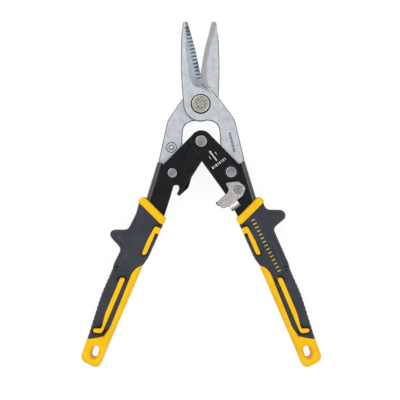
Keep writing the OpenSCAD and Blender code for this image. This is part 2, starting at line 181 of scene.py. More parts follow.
def steel(name, dark, light, roughness, grain=0.3, grain_turn=None, speck=0.02, patch=6):
    """Bare or plated steel: mottled from dark to light in patches, with uneven gloss and specks of
    relief, all three in millimetres. Where grain_turn is set the gloss has grinding lines."""
    shader = Shader(name, roughness, metallic=1.0)
    patches = shader.noise(patch * MM, 4)
    shader.colour(shader.ramp(patches, (0.3, dark), (0.7, light)))
    fine = shader.noise(grain * MM, 3)
    if grain_turn is not None:
        fine = shader.noise(grain * MM, 2, shader.stretched((1, 0.06, 1), grain_turn))
    shader.roughness(shader.grey_range(fine, 0.3, 0.7, roughness - 0.08, roughness + 0.1))
    return shader.bump((fine, speck * MM), (patches, 0.03 * MM)).material


def coating(name, dark, light, roughness, bump, gloss=0.16):
    """A thin dark coating on steel, with handling marks and a fine orange peel, bump mm deep."""
    shader = Shader(name, roughness, Specular_IOR_Level=gloss)
    patches = shader.noise(9 * MM, 5)
    peel = shader.noise(0.45 * MM, 2)
    scuffs = shader.noise(1.2 * MM, 4, shader.stretched((1, 0.12, 1), 40))
    shader.colour(shader.ramp(patches, (0.35, dark), (0.75, light)))
    shader.roughness(shader.grey_range(scuffs, 0.35, 0.7, roughness - 0.07, roughness + 0.12))
    return shader.bump((peel, bump * MM), (scuffs, 0.01 * MM)).material


def moulded(name, dark, light, roughness, grain, depth, gloss=0.22):
    """Moulded plastic or rubber: slight colour change, and a fine spark-eroded grain whose size and
    depth are in millimetres."""
    shader = Shader(name, roughness, Specular_IOR_Level=gloss)
    patches = shader.noise(14 * MM, 4)
    fine = shader.noise(grain * MM, 3)
    shader.colour(shader.ramp(patches, (0.3, dark), (0.7, light)))
    shader.roughness(shader.grey_range(fine, 0.3, 0.7, roughness - 0.06, roughness + 0.08))
    return shader.bump((fine, depth * MM), (patches, 0.05 * MM)).material


def make_materials():
    """All finishes. Each one has a darker and a lighter colour and then its roughness."""
    return {
        # bare steel
        "forged": steel("forged_steel", (0.6, 0.63, 0.68), (0.78, 0.8, 0.84), 0.35, 0.4,
                        speck=0.05, patch=5),
        "ground": steel("ground_steel", (0.36, 0.36, 0.37), (0.46, 0.455, 0.455), 0.5, 0.25, 70,
                        speck=0.05),
        # the blade's ground bevel: its grinding lines are real, its darker colour is painted shade
        "bevel": steel("ground_blade_bevel_painted_shade", (0.27, 0.305, 0.36), (0.4, 0.435, 0.49), 0.38, 0.3, 20,
                       speck=0.04),
        # painted shade: rounded edges made dark, standing in for the dark that they reflect
        "dark_edge": steel("edge_painted_shade", (0.1, 0.108, 0.125), (0.2, 0.21, 0.235), 0.4),
        # painted shade in the serrations' notches
        "groove": steel("serration_groove_painted_shade", (0.02, 0.022, 0.026), (0.3, 0.32, 0.36), 0.5,
                        patch=1.1),
        # painted shadow in the bolt's recess and bore
        "shadow": steel("recess_painted_shadow", (0.012, 0.012, 0.013), (0.03, 0.03, 0.032), 0.55),
        # painted highlight on the jaws' creases and chamfers and on the latch's fold
        "edge": steel("edge_painted_highlight", (0.78, 0.79, 0.82), (0.9, 0.9, 0.92), 0.24),
        # stamped marks, and painted shade in the gap round the latch's rivet
        "stamp": steel("stamped_line_and_gap_shade", (0.1, 0.1, 0.11), (0.16, 0.16, 0.17), 0.6),
        # fasteners, spring and latch
        "bolt": steel("bolt_steel", (0.5, 0.47, 0.4), (0.7, 0.67, 0.6), 0.32, speck=0.05),
        "bolt_face": steel("peened_bolt_face", (0.16, 0.15, 0.125), (0.6, 0.57, 0.5), 0.42, 0.7,
                           speck=0.3, patch=0.9),
        "pin": steel("pin_face", (0.2, 0.2, 0.21), (0.33, 0.33, 0.345), 0.45, 0.5, speck=0.12),
        "pin_rim": steel("pin_rim", (0.4, 0.4, 0.41), (0.55, 0.55, 0.57), 0.3),
        "washer": steel("zinc_washer", (0.45, 0.45, 0.46), (0.6, 0.6, 0.61), 0.35, 0.4),
        "spring": steel("spring_wire", (0.16, 0.16, 0.17), (0.3, 0.3, 0.31), 0.35, 0.4, 0),
        "brass": steel("bronze_bush", (0.5, 0.36, 0.14), (0.7, 0.53, 0.24), 0.35, 0.4),
        "latch": steel("latch_zinc", (0.36, 0.34, 0.315), (0.78, 0.75, 0.71), 0.36, 0.4,
                       speck=0.1, patch=0.9),
        # coated steel
        "black": coating("black_steel", (0.004, 0.005, 0.0055), (0.008, 0.0095, 0.011), 0.38,
                         0.012),
        # painted sheen: a lighter, glossier copy of the black coating for the channel's bends and
        # walls
        "black_bend_painted_sheen": coating("black_bend_painted_sheen", (0.03, 0.033, 0.04), (0.045, 0.049, 0.058), 0.27,
                              0.01, 0.7),
        # worn paint along rounded edges, partly painted highlight
        "black_edge": coating("worn_black_edge_and_painted_highlight", (0.02, 0.021, 0.024), (0.05, 0.052, 0.056),
                              0.3, 0.01),
        "ring": coating("black_ring", (0.004, 0.004, 0.0045), (0.009, 0.009, 0.01), 0.5, 0.02),
        # painted highlight round the ring's rim
        "ring_rim": coating("ring_rim_painted_highlight", (0.07, 0.072, 0.076), (0.13, 0.133, 0.14), 0.35,
                            0.01, 0.5),
        # print, plastic and rubber
        "print": moulded("pale_print", (0.55, 0.54, 0.52), (0.75, 0.74, 0.72), 0.6, 0.3, 0.01),
        "print_yellow": moulded("yellow_print", (0.62, 0.45, 0.02), (0.75, 0.56, 0.05), 0.5,
                                0.3, 0.01),
        "yellow": moulded("yellow_plastic", (0.84, 0.46, 0.0005), (0.93, 0.55, 0.001), 0.42,
                          0.25, 0.008),
        "rubber": moulded("grey_overmould", (0.028, 0.031, 0.042), (0.042, 0.045, 0.058), 0.62,
                          0.3, 0.04),
        # painted highlight on the grip panel's ledge
        "rubber_painted_highlight": moulded("overmould_ledge_painted_highlight", (0.08, 0.084, 0.098), (0.11, 0.115, 0.13), 0.5,
                               0.3, 0.02),
        # painted shade in the grip's two grooves
        "rubber_groove_painted_shade": moulded("overmould_groove_painted_shade", (0.008, 0.008, 0.01),
                                 (0.014, 0.014, 0.018), 0.7, 0.3, 0),
    }


# ---------------------------------------------------------------- metal pieces
CREASE, CREASE_END = 16, 50  # degrees between the two faces of a crease
SHARP = 40  # degrees from which an edge is rounded
LEVEL = 0.5  # the least slope, as a normal's Z, of a face that counts as looking up or down
ROOM = 2.4  # the least height of a wall whose edges are rounded, in widths of the rounding
WELD, FLAT, SHORT = 2e-6, 0.8, 0.02 * MM  # corners to weld, degrees and edges to dissolve


def eased(node, name, width, crease_width=0.0, cuts=(), share=lambda place: 1.0):
    """A copy of a CAD node's shape with its sharp edges rounded off. The rounding takes material 1,
    and creases between two level faces are flattened by crease_width and take material 2.
    cuts are heights in Y where the faces are split, so that each part can take its own material.
    share(middle of an edge) is the part of width that the edge gets, 0 where it stays sharp."""

    def has_room(face):
        heights = [v.co.z for v in face.verts]
        return abs(face.normal.z) > LEVEL or max(heights) - min(heights) > ROOM * width

    def weight(edge):
        if len(edge.link_faces) != 2 or math.degrees(edge.calc_face_angle(0)) < SHARP:
            return 0.0
        if not all(has_room(f) for f in edge.link_faces):
            return 0.0
        return share((edge.verts[0].co + edge.verts[1].co) / 2)

    bm = bmesh.new()
    bm.from_mesh(nodes[node].data)
    bmesh.ops.remove_doubles(bm, verts=bm.verts, dist=WELD)
    bmesh.ops.dissolve_limit(bm, angle_limit=math.radians(FLAT), verts=bm.verts, edges=bm.edges)
    bmesh.ops.dissolve_degenerate(bm, dist=SHORT, edges=bm.edges)
    for y in cuts:
        everything = bm.verts[:] + bm.edges[:] + bm.faces[:]
        bmesh.ops.bisect_plane(bm, geom=everything, dist=1e-6, plane_co=(0, y, 0),
                               plane_no=(0, 1, 0))
    if crease_width:
        creases = [
            edge for edge in bm.edges
            if len(edge.link_faces) == 2 and min(abs(f.normal.z) for f in edge.link_faces) > LEVEL
            and CREASE < math.degrees(edge.calc_face_angle(0)) < CREASE_END
        ]
        bmesh.ops.bevel(bm, geom=creases, offset=crease_width, offset_type="WIDTH", segments=1,
                        profile=0.5, affect="EDGES", clamp_overlap=True, material=2)
    weights = [weight(edge) for edge in bm.edges]
    mesh = bpy.data.meshes.new(name)
    bm.to_mesh(mesh)
    bm.free()
    mesh.attributes.new("bevel_weight_edge", "FLOAT", "EDGE").data.foreach_set("value", weights)
    shade(mesh, CREASE)
    ob = new_object(name, mesh)
    bevel = ob.modifiers.new("edges", "BEVEL")
    bevel.width = width
    bevel.segments = 2
    bevel.limit_method = "WEIGHT"
    bevel.material = 1
    bevel.use_clamp_overlap = False
    normals = ob.modifiers.new("normals", "WEIGHTED_NORMAL")
    normals.keep_sharp = True
    normals.weight = 100
    return ob


def turned(name, axis, profile, segments=72, closed=False, smooth_angle=32):
    """A turned piece round the vertical line at axis. profile lists (radius, z), and runs from the
    lower end of the axis to the upper, or right round a ring's section where closed is true."""
    points, faces, rows = [], [], []
    for radius, z in profile:
        count = 1 if radius < NOTHING else segments
        rows.append(range(len(points), len(points) + count))
        for k in range(count):
            a = 2 * math.pi * k / segments
            points.append((axis.x + radius * math.cos(a), axis.y + radius * math.sin(a), z))
    pairs = list(zip(rows, rows[1:])) + ([(rows[-1], rows[0])] if closed else [])
    for low, high in pairs:
        for k in range(segments):
            n = (k + 1) % segments
            corners = [low[k % len(low)], low[n % len(low)],
                       high[n % len(high)], high[k % len(high)]]
            face = [c for i, c in enumerate(corners) if c not in corners[:i]]
            if len(face) > 2:
                faces.append(face)
    return object_from(name, points, faces, smooth_angle)


def joined(name, pieces):
    """One object from several, which keeps each piece's faces apart and its material indices."""
    bm = bmesh.new()
    for piece in pieces:
        bm.from_mesh(piece.data)
    mesh = bpy.data.meshes.new(name)
    bm.to_mesh(mesh)
    bm.free()
    for piece in pieces:
        bpy.data.objects.remove(piece)
    return new_object(name, mesh)


def faces_to(ob, index, test):
    """Gives material index to the faces whose middle passes test(middle, normal)."""
    for polygon in ob.data.polygons:
        if test(polygon.center, polygon.normal):
            polygon.material_index = index


def away(place, axis):
    """The distance in plan."""
    return math.hypot(place.x - axis.x, place.y - axis.y)


# A pin's head, from the middle out: shares of its radius, with depths under its top, of the dished
# face in shares of PIN_DISH and of the rounded rim in shares of the head's height
PIN_DISH = 0.12 * MM
PIN_FACE = ((0, 1.4), (0.4, 1.15), (0.74, 1), (0.8, 0.3))
PIN_RIM = ((0.85, 0), (0.91, 0.03), (0.97, 0.2), (1, 0.45))
PIN_RIM_FROM = 0.83


def pin(name, node, body):
    """A riveted pin: a shank between two heads, each with a bright rim and a duller peened face."""
    low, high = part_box(node)
    axis = centre_of(node)
    head = (high.x - low.x) / 2
    corners = [v.co for v in nodes[node].data.vertices]
    levels = sorted({round(c.z, 6) for c in corners})
    shank = min(away(c, axis) for c in corners if min(abs(c.z - MID_Z), away(c, axis)) > 1e-4)
    profile = []
    for z, under, way in ((low.z, levels[2], -1), (high.z, levels[-3], 1)):
        height = abs(z - under)
        half = [(head * reach, z - way * PIN_DISH * depth) for reach, depth in PIN_FACE]
        half += [(head * reach, z - way * depth * height) for reach, depth in PIN_RIM]
        half += [(head, under), (shank, under)]
        profile += half if way < 0 else half[::-1]
    ob = turned(name, axis, profile, 64, smooth_angle=50)
    faces_to(ob, 1, lambda c, n: away(c, axis) > head * PIN_RIM_FROM)
    dress(ob, body, "pin_steel", [MAT["pin"], MAT["pin_rim"]], node)


def ring_piece(name, node, body, slot, material, ease=0.12 * MM, rim=None):
    """Rings stacked on one vertical line, one for each solid of the node, with eased edges."""
    mesh = nodes[node].data
    axis = centre_of(node)
    levels = sorted({round(v.co.z, 6) for v in mesh.vertices})
    pieces = []
    for z0, z1 in zip(levels[::2], levels[1::2]):
        radii = [away(v.co, axis) for v in mesh.vertices if z0 - SAME <= v.co.z <= z1 + SAME]
        inner, outer = min(radii), max(radii)
        e = min(ease, (z1 - z0) / 3, (outer - inner) / 3)
        profile = [
            (inner, z0 + e), (inner + e, z0), (outer - e, z0), (outer, z0 + e),
            (outer, z1 - e), (outer - e, z1), (inner + e, z1), (inner, z1 - e),
        ]
        pieces.append(turned(name + "_ring", axis, profile, 64, closed=True, smooth_angle=50))
    ob = joined(name, pieces)
    shade(ob.data, 50)
    # rim, where given, is a painted highlight on the outer edge
    if rim:
        reach = (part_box(node)[1].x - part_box(node)[0].x) / 2
        faces_to(ob, 1, lambda c, n: away(c, axis) > reach - 1.2 * ease)
    dress(ob, body, slot, [material, rim] if rim else [material], node)


# ---------------------------------------------------------------- outlines from the frame
def face_loops(node, z):
    """The outlines of a node's level faces at height z that look up, the face on their left."""
    mesh = nodes[node].data
    edges = set()
    for polygon in mesh.polygons:
        corners = [mesh.vertices[i].co for i in polygon.vertices]
        if polygon.normal.z < 0.99 or any(abs(c.z - z) > SAME for c in corners):
            continue
        keys = [(round(c.x, 6), round(c.y, 6)) for c in corners]
        for a, b in zip(keys, keys[1:] + keys[:1]):
            if (b, a) in edges:
                edges.remove((b, a))
            else:
                edges.add((a, b))
    after = {}
    for a, b in sorted(edges):
        after.setdefault(a, []).append(b)
    loops = []
    while after:
        start = min(after)
        loop, point = [], start
        while point in after:
            loop.append(Vector(point))
            point_next = after[point].pop()
            if not after[point]:
                del after[point]
            point = point_next
        loops.append(loop)
    return [loop for loop in loops if len(loop) > 2]


def signed_area(loop):
    return sum(a.x * b.y - b.x * a.y for a, b in zip(loop, loop[1:] + loop[:1])) / 2


def middle(loop):
    return sum(loop, Vector((0, 0))) / len(loop)


def turn_at(before, here, after):
    a, b = here - before, after - here
    return math.degrees(math.atan2(a.x * b.y - a.y * b.x, a.dot(b)))


def evenly(loop, step, passes=6, corner=24):
    """The loop at even steps, its true corners kept and the rest smoothed: [(point, is_corner)]."""
    count = len(loop)
    corners = [
        i for i in range(count)
        if abs(turn_at(loop[i - 1], loop[i], loop[(i + 1) % count])) > corner
    ]
    stops = corners or [0]
    marked = []
    for first, last in zip(stops, stops[1:] + [stops[0] + count]):
        path = [loop[i % count] for i in range(first, last + 1)]
        lengths = [(b - a).length for a, b in zip(path, path[1:])]
        pieces = max(1, round(sum(lengths) / step))
        spacing = sum(lengths) / pieces
        k, walked = 0, 0.0
        for i in range(pieces):
            while k < len(lengths) - 1 and walked + lengths[k] < i * spacing - 1e-9:
                walked += lengths[k]
                k += 1
            share = (i * spacing - walked) / lengths[k]
            marked.append((path[k].lerp(path[k + 1], share), i == 0 and bool(corners)))
    points = [p for p, _ in marked]
    fixed = [f for _, f in marked]
    n = len(points)
    for _ in range(passes):
        points = [
            points[i] if fixed[i] else (points[i - 1] + 2 * points[i] + points[(i + 1) % n]) / 4
            for i in range(n)
        ]
    return list(zip(points, fixed))


def segment_distance(p, a, b):
    d = b - a
    t = max(0.0, min(1.0, (p - a).dot(d) / max(d.length_squared, 1e-18)))
    return (p - (a + d * t)).length


class Edges:
    """Sampled outlines, each sample with a kind, that answer how far a point is from each kind."""

    def __init__(self, loops, kind_of):
        self.points, self.kinds, self.normals = [], [], []
        self.reach, self.next, self.before = [], [], []
        for loop in loops:
            start, count = len(self.points), len(loop)
            for i, (point, _) in enumerate(loop):
                before, after = loop[i - 1][0], loop[(i + 1) % count][0]
                u, v = (point - before).normalized(), (after - point).normalized()
                bisector = Vector((-(u.y + v.y), u.x + v.x)).normalized()
                self.points.append(point)
                self.kinds.append(kind_of(point))
                self.normals.append(bisector)
                self.reach.append(1 / max(0.3, bisector.dot(Vector((-u.y, u.x)))))
                self.before.append(start + (i - 1) % count)
                self.next.append(start + (i + 1) % count)
        self.trees = {}
        for kind in dict.fromkeys(self.kinds):
            members = [i for i, k in enumerate(self.kinds) if k == kind]
            tree = kdtree.KDTree(len(members))
            for i in members:
                tree.insert(self.points[i].to_3d(), i)
            tree.balance()
            self.trees[kind] = tree

    def distance(self, p, kind):
        if kind not in self.trees:
            return 1.0
        _, i, _ = self.trees[kind].find(p.to_3d())
        here = self.points[i]
        return min(segment_distance(p, self.points[self.before[i]], here),
                   segment_distance(p, here, self.points[self.next[i]]))

    def nearest(self, p):
        return min(self.distance(p, kind) for kind in self.trees)


def smooth(low, high, x):
    """0 up to low, 1 from high, and an even curve between."""
    t = max(0.0, min(1.0, (x - low) / (high - low)))
    return t * t * (3 - 2 * t)


def quarter(d, width, depth):
    """How far a quarter-ellipse edge has dropped, d in from the edge."""
    if d >= width:
        return 0.0
    x = 1 - d / width
    return depth * (1 - math.sqrt(max(0.0, 1 - x * x)))


RING_ANGLES = (12, 25, 38, 52, 66, 79, 90)  # where rings of points lie on a quarter of an edge
ROW = 0.87  # the height of a triangle of the grid, in lengths of its side
CLEAR = 0.45  # the least space between the rings and the grid, in lengths of the same
OWN_EDGE = 0.93  # a point of a ring is left out where an edge is nearer than this share of its own


def inside(p, loops):
    """Whether a point is inside the loops, by the even-odd rule."""
    odd = False
    for loop in loops:
        for a, b in zip(loop, loop[1:] + loop[:1]):
            if (a.y > p.y) != (b.y > p.y) and p.x < a.x + (p.y - a.y) * (b.x - a.x) / (b.y - a.y):
                odd = not odd
    return odd


def pillow(name, loops, kind_of, rounding, top, extra=None, ledges=None, spots=(),
           grid=2.2 * MM):
    """A moulded body between two mirrored skins. rounding gives each kind of edge its width and
    depth, and extra(point, edges) lowers the skins where it returns more than nothing. ledges gives
    a kind of edge more rings of points at these distances, and spots adds single points."""
    edges = Edges(loops, kind_of)
    points = list(edges.points)
    links = [(i, edges.next[i]) for i in range(len(points))]
    boundary = len(points)
    for i in range(boundary):
        width = rounding[edges.kinds[i]][0]
        reaches = [width * (1 - math.cos(math.radians(angle))) for angle in RING_ANGLES]
        for d in reaches + (ledges or {}).get(edges.kinds[i], []):
            p = edges.points[i] + edges.normals[i] * d * edges.reach[i]
            if edges.nearest(p) > OWN_EDGE * d:
                points.append(p)
    outlines = [[p for p, _ in loop] for loop in loops]
    points += [p for p in spots if edges.nearest(p) > 0.2 * MM and inside(p, outlines)]
    low_x, high_x = min(p.x for p in points), max(p.x for p in points)
    low_y, high_y = min(p.y for p in points), max(p.y for p in points)
    clear = max(w for w, _ in rounding.values()) + grid * CLEAR
    row, y = 0, low_y
    while y < high_y:
        x = low_x + (grid / 2 if row % 2 else 0)
        while x < high_x:
            p = Vector((x, y))
            if edges.nearest(p) > clear and inside(p, outlines):
                points.append(p)
            x += grid
        y += grid * ROW
        row += 1
    coords, _, faces, origins, _, _ = delaunay_2d_cdt(points, links, [], 0, 1e-7, True)
    faces = [f for f in faces if inside(sum((coords[i] for i in f), Vector((0, 0))) / 3, outlines)]
    made_of = {origin: i for i, group in enumerate(origins) for origin in group}

    def height(p):
        drops = [quarter(edges.distance(p, kind), *rounding[kind]) for kind in edges.trees]
        drop = math.sqrt(sum(d * d for d in drops))
        return top - MID_Z - drop - (extra(p, edges) if extra else 0.0)

    heights = [height(c) for c in coords]
    size = len(coords)
    solid = [(c.x, c.y, MID_Z + h) for c, h in zip(coords, heights)]
    solid += [(c.x, c.y, MID_Z - h) for c, h in zip(coords, heights)]
    skin = [list(f) if turn_at(*[coords[i] for i in f]) > 0 else list(f)[::-1] for f in faces]
    skin += [[i + size for i in f[::-1]] for f in skin]
    for a, b in links:
        a, b = made_of[a], made_of[b]
        skin.append([a + size, b + size, b, a])
    return object_from(name, solid, skin, 40)


# ---------------------------------------------------------------- grips
# Spacing of the points along the outlines
EDGE_STEP, COVER_STEP, SPINE_STEP = 0.35 * MM, 0.6 * MM, 0.6 * MM
SLOT_STEP, COLLAR_STEP, STRIP_STEP, STRIP_GRID = 0.5 * MM, 0.5 * MM, 0.4 * MM, 1.2 * MM


def in_mm(**kinds):
    return {kind: (width * MM, depth * MM) for kind, (width, depth) in kinds.items()}


# Width and depth of each kind of edge
COVER_EDGES = in_mm(seam=(0.55, 1.0), palm=(4.2, 6.4), finger=(2.6, 4.2))
SPINE_EDGES = in_mm(seam=(0.4, 0.6), free=(2.8, 3.8), slot=(1.3, 1.8))
COLLAR_EDGES = in_mm(seam=(0.5, 0.7), free=(1.5, 2.0))
STRIP_EDGES = in_mm(seam=(0.45, 0.5), free=(0.9, 3.2))


class Grip:
    """One handle's grip: its outlines in the frame, and places measured along and across it."""

    def __init__(self, side):
        self.sign = 1 if side == "right" else -1
        self.body = side + "_handle"
        core, cover = side + "_grip_core", side + "_grip_cover"
        self.core_loops = face_loops(core, GRIP_HIGH.z)
        self.cover_loops = face_loops(cover, GRIP_HIGH.z)
        self.slot = next(l for l in self.core_loops if signed_area(l) < 0)
        outer = [l for l in self.core_loops if signed_area(l) > 0]
        self.spine, *rest = sorted(outer, key=signed_area, reverse=True)
        self.collar = max(rest, key=lambda l: middle(l).y)
        self.strips = [l for l in rest if l is not self.collar]
        self.start = middle(self.collar)
        self.along = (middle(self.slot) - self.start).normalized()
        self.out = Vector((-self.along.y, self.along.x)) * self.sign
        self.core_edges, self.cover_edges = (
            Edges([evenly(l, EDGE_STEP, passes=0) for l in loops], lambda p: "all")
            for loops in (self.core_loops, self.cover_loops)
        )

    def down(self, p):
        return (p - self.start).dot(self.along)

    def across(self, p):
        return (p - self.start).dot(self.out)


SEAM = 0.12 * MM  # outlines of the core and the cover nearer than this share a seam
SLOT_REACH = 0.8 * MM  # points of the spine nearer to the slot than this are its edge
# Places down the grip are measured from the middle of its collar
RIB_FROM, RIB_TO, RIB_FADE = 50 * MM, 104 * MM, 5 * MM
RIB_PITCH, RIB_DEPTH, RIB_CLEAR = 3.4 * MM, 0.3 * MM, 1.5 * MM
PANEL_TOP, PANEL_FULL, PANEL_FADE, PANEL_END = 24 * MM, 28 * MM, 42 * MM, 45 * MM
PANEL_DROP = 0.55 * MM
PANEL_LEDGE = (4.4 * MM, 4.8 * MM)  # from the palm side's edge
# where the cover's painted highlight and shade end, down the grip
PAINTED_LIGHT_END = 48 * MM
GROOVES_DOWN, GROOVES_APART = 40.4 * MM, 2.6 * MM
GROOVE_DEPTH, GROOVE_HALF = 0.8 * MM, 0.55 * MM
GROOVE_STEP, GROOVE_STEPS = 0.4 * MM, 11
HORN_FROM, HORN_REACH, HORN_END, HORN_DROP = 1.5 * MM, 13 * MM, 30 * MM, 3.2 * MM
COVER_DROP, STRIP_DROP = 0.25 * MM, 0.1 * MM  # how far they lie under the core's top
LEDGE_SLOPE, LEDGE_MARGIN = (0.3, 0.96), 0.1 * MM  # normal Z of the ledge faces that take painted highlight, and their spread


def groove_heights(grip):
    """Where the two grooves cross the palm side, in Y."""
    return [grip.start.y - GROOVES_DOWN + way * GROOVES_APART / 2 for way in (-1, 1)]


def groove_spots(grip):
    """Points along the middle and both sides of each groove."""
    palm = [p for p, _ in evenly(grip.cover_loops[0], 0.3 * MM)]
    spots = []
    for y in groove_heights(grip):
        side = max((p for p in palm if abs(p.y - y) < 0.3 * MM), key=grip.across)
        for step in range(1, GROOVE_STEPS + 1):
            x = side.x - grip.sign * step * GROOVE_STEP
            spots += [Vector((x, y + offset)) for offset in (-GROOVE_HALF, 0, GROOVE_HALF)]
    return spots


def cover_kind(grip):
    def kind(p):
        if grip.core_edges.nearest(p) < SEAM:
            return "seam"
        return "palm" if grip.across(p) > 0 else "finger"
    return kind


def cover_relief(grip):
    """The cover's own shape: a raised panel on the palm side, two grooves, and a thinner horn."""
    side_line = max(grip.across(p) for p in grip.collar)

    def relief(p, edges):
        palm = edges.distance(p, "palm")
        drop = 0.0
        down = grip.down(p)
        if PANEL_TOP < down < PANEL_END and grip.across(p) > 0:
            fade = (smooth(PANEL_TOP, PANEL_FULL, down)
                    * (1 - smooth(PANEL_FADE, PANEL_END, down)))
            drop += PANEL_DROP * fade * (1 - smooth(*PANEL_LEDGE, palm))
        if palm < PANEL_LEDGE[1]:
            for y in groove_heights(grip):
                drop += GROOVE_DEPTH * max(0.0, 1 - abs(p.y - y) / GROOVE_HALF)
        beyond = grip.across(p) - side_line - HORN_FROM
        if beyond > 0 and down < HORN_END:
            drop += HORN_DROP * smooth(0, HORN_REACH, beyond)
        return drop
    return relief


def ribbed(grip, loop):
    """The cover's outline with small notches along the palm side, below the grooves."""
    result = []
    for i, (p, fixed) in enumerate(loop):
        down = grip.down(p)
        palm_side = grip.across(p) > 0 and grip.core_edges.nearest(p) > RIB_CLEAR
        if RIB_FROM < down < RIB_TO and palm_side:
            d = (loop[(i + 1) % len(loop)][0] - loop[i - 1][0]).normalized()
            wave = max(0.0, math.sin(2 * math.pi * down / RIB_PITCH)) ** 2
            fade = (smooth(RIB_FROM, RIB_FROM + RIB_FADE, down)
                    * (1 - smooth(RIB_TO - RIB_FADE, RIB_TO, down)))
            p = p + Vector((-d.y, d.x)) * RIB_DEPTH * wave * fade
        result.append((p, fixed))
    return result


def paint_cover_highlight_and_shade(grip, cover):
    """Gives the panel's ledge a painted highlight and the two grooves painted shade."""
    ledge_low, ledge_high = PANEL_LEDGE
    for polygon in cover.data.polygons:
        place = polygon.center.to_2d()
        if grip.across(place) < 0 or not PANEL_TOP < grip.down(place) < PAINTED_LIGHT_END:
            continue
        reach = grip.cover_edges.nearest(place)
        on_ledge = ledge_low - LEDGE_MARGIN < reach < ledge_high + LEDGE_MARGIN
        to_groove = min(abs(place.y - y) for y in groove_heights(grip))
        if on_ledge and LEDGE_SLOPE[0] < abs(polygon.normal.z) < LEDGE_SLOPE[1]:
            polygon.material_index = 1
        elif reach < ledge_high and to_groove < 0.8 * GROOVE_HALF:
            polygon.material_index = 2


def make_grip(side):
    grip = Grip(side)
    top = GRIP_HIGH.z
    loops = [ribbed(grip, evenly(l, COVER_STEP)) for l in grip.cover_loops]
    cover = pillow(side + "_grip_overmould", loops, cover_kind(grip), COVER_EDGES,
                   top - COVER_DROP, cover_relief(grip), {"palm": list(PANEL_LEDGE)},
                   groove_spots(grip))
    paint_cover_highlight_and_shade(grip, cover)
    finishes = [MAT["rubber"], MAT["rubber_painted_highlight"], MAT["rubber_groove_painted_shade"]]
    dress(cover, grip.body, "grip_cover", finishes, side + "_grip_cover")

    def core_kind(p):
        return "seam" if grip.cover_edges.nearest(p) < SEAM else "free"

    def slot_kind(p):
        in_slot = min((p - q).length for q in grip.slot) < SLOT_REACH
        return "slot" if in_slot else core_kind(p)

    parts = [
        pillow(side + "_spine", [evenly(grip.spine, SPINE_STEP), evenly(grip.slot, SLOT_STEP)],
               slot_kind, SPINE_EDGES, top),
        pillow(side + "_collar", [evenly(grip.collar, COLLAR_STEP)], core_kind, COLLAR_EDGES, top),
    ]
    for number, strip in enumerate(grip.strips):
        outline = evenly(strip, STRIP_STEP, passes=3)
        parts.append(pillow(f"{side}_strip_{number}", [outline], core_kind, STRIP_EDGES,
                            top - STRIP_DROP, grid=STRIP_GRID))
    core = joined(side + "_grip_moulding", parts)
    shade(core.data, 40)
    dress(core, grip.body, "grip_core", [MAT["yellow"]], side + "_grip_core")


# ---------------------------------------------------------------- jaws and bolt
JAW_EASE, JAW_CREASE = 0.6 * MM, 1.1 * MM
# Heights above the main bolt: the cutting edges, the front blade's bevel and the back one's strip
CUT_FROM, BEVEL_FROM, STRIP_FROM = 14 * MM, 12.5 * MM, 11.5 * MM
CUT_SIDE = 12.2 * MM  # how far the cutting edges reach beside the bolt
MARKS_BELOW = 20 * MM  # where the back arm's stamped rings begin under the bolt
BOLT_RECESS = 7.2 * MM  # radius
BEVEL_SLOPE = (0.8, 0.965)  # normal Z
NOTCH_AREA = 4.5 * MM * MM  # the serrations' faces are smaller, the bevel's larger
SKIN = 0.05 * MM  # faces nearer to the top than this belong to it
NUT_SEAT, MARK_DEPTH, BORE_FROM = 0.9 * MM, 0.35 * MM, 3 * MM  # depths under the top


def make_jaws():
    bolt = centre_of("pivot_bolt")
    # the rounding takes dark_edge, painted shade along the outlines
    finishes = [MAT[key] for key in ("forged", "dark_edge", "edge", "bevel", "shadow", "ground",
                                     "stamp", "groove")]
    rounded, bevel, shadow, ground, stamp, groove = 2, 3, 4, 5, 6, 7

    def outside_cut(way):
        """No rounding along the cutting edge, which is on the side of the bolt that way gives."""
        def share(c):
            return 0.0 if c.y > bolt.y + CUT_FROM and way * (c.x - bolt.x) < CUT_SIDE else 1.0
        return share

    def sloping(n):
        return BEVEL_SLOPE[0] < n.z < BEVEL_SLOPE[1]

    front = eased("front_jaw", "front_jaw_forging", JAW_EASE, JAW_CREASE, share=outside_cut(-1))
    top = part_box("front_jaw")[1].z
    blade_from = bolt.y + BEVEL_FROM
    # the blade's bevel: ground steel, darkened as painted shade
    faces_to(front, bevel, lambda c, n: sloping(n) and c.y > blade_from)
    # the creases (material 2) and the sloping faces beside the boss take painted highlight
    faces_to(front, rounded, lambda c, n: sloping(n) and c.y < blade_from)
    # the serrations' small faces take painted shade
    for polygon in front.data.polygons:
        if polygon.material_index == bevel and polygon.area < NOTCH_AREA:
            polygon.material_index = groove
    # painted shadow on the floor of the nut's recess
    faces_to(front, shadow,
             lambda c, n: away(c, bolt) < BOLT_RECESS and SKIN < top - c.z < NUT_SEAT)
    dress(front, "front_jaw", "forged_steel", finishes, "front_jaw")

    strip_end = bolt.y + STRIP_FROM
    back = eased("back_jaw", "back_jaw_forging", JAW_EASE, cuts=(strip_end,), share=outside_cut(1))
    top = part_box("back_jaw")[1].z
    faces_to(back, ground, lambda c, n: c.y > strip_end and abs(c.z - top) < SKIN)
    faces_to(back, stamp,
             lambda c, n: c.y < bolt.y - MARKS_BELOW and SKIN < top - c.z < MARK_DEPTH)
    # painted shadow on the walls of the bolt's bore
    faces_to(back, shadow,
             lambda c, n: away(c, bolt) < BOLT_RECESS and top - c.z > BORE_FROM
             and abs(n.z) < LEVEL)
    dress(back, "back_jaw", "forged_steel", finishes, "back_jaw")


